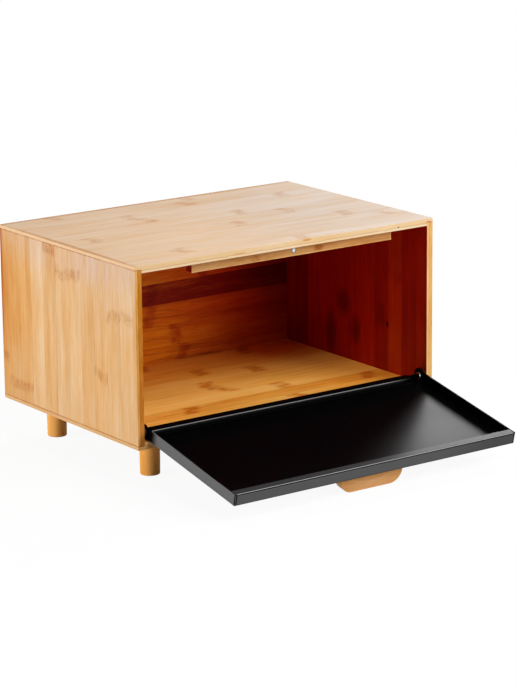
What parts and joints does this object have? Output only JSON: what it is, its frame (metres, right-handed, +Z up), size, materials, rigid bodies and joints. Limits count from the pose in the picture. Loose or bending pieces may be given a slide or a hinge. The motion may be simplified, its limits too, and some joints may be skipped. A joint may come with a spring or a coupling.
{
  "type": "bread box",
  "caption": "Bamboo bread box on round legs with a fold-down sheet-metal door, rounded pull handle and magnetic catch.",
  "frame": {"origin": "on the surface that the legs stand on, under the middle of the whole object's box with the door open", "axes": "+X to the right seen from the front, +Y from the front to the back, +Z up"},
  "size_m": [0.38, 0.4114, 0.2316],
  "materials": {
    "bamboo_top": "oiled laminated bamboo, pale, strips along the width",
    "bamboo_bottom": "oiled laminated bamboo, strips along the width",
    "bamboo_side": "oiled laminated bamboo, honey, strips upright",
    "bamboo_back": "oiled laminated bamboo, strips along the width",
    "bamboo_strip": "oiled bamboo batten",
    "bamboo_leg": "turned bamboo, darker",
    "bamboo_handle": "oiled bamboo plate",
    "black_paint": "fine satin black powder coat",
    "bright_screw": "bright plated steel",
    "magnet_nickel": "nickel plated",
    "zinc_steel": "zinc plated steel",
    "black_nylon": "moulded nylon"
  },
  "bodies": {
    "case": {"top_panel": "bamboo_top", "bottom_panel": "bamboo_bottom", "left_side": "bamboo_side", "right_side": "bamboo_side", "back_panel": "bamboo_back", "stop_strip": "bamboo_strip", "catch_magnet": "magnet_nickel", "front_left_leg": "bamboo_leg", "front_right_leg": "bamboo_leg", "rear_left_leg": "bamboo_leg", "rear_right_leg": "bamboo_leg", "front_left_stud": "zinc_steel", "front_right_stud": "zinc_steel", "rear_left_stud": "zinc_steel", "rear_right_stud": "zinc_steel", "left_hinge_screw": "bright_screw", "right_hinge_screw": "bright_screw", "left_hinge_spacer": "black_nylon", "right_hinge_spacer": "black_nylon"},
    "door": {"door_pan": "black_paint", "door_handle": "bamboo_handle", "left_handle_screw": "zinc_steel", "right_handle_screw": "zinc_steel"}
  },
  "joints": [
    {"name": "door_hinge", "type": "hinge", "parent": "case", "child": "door", "pos_m": [0, -0.04723, 0.05851], "axis": [-1, 0, 0], "range_deg": [0, 102.19]}
  ]
}
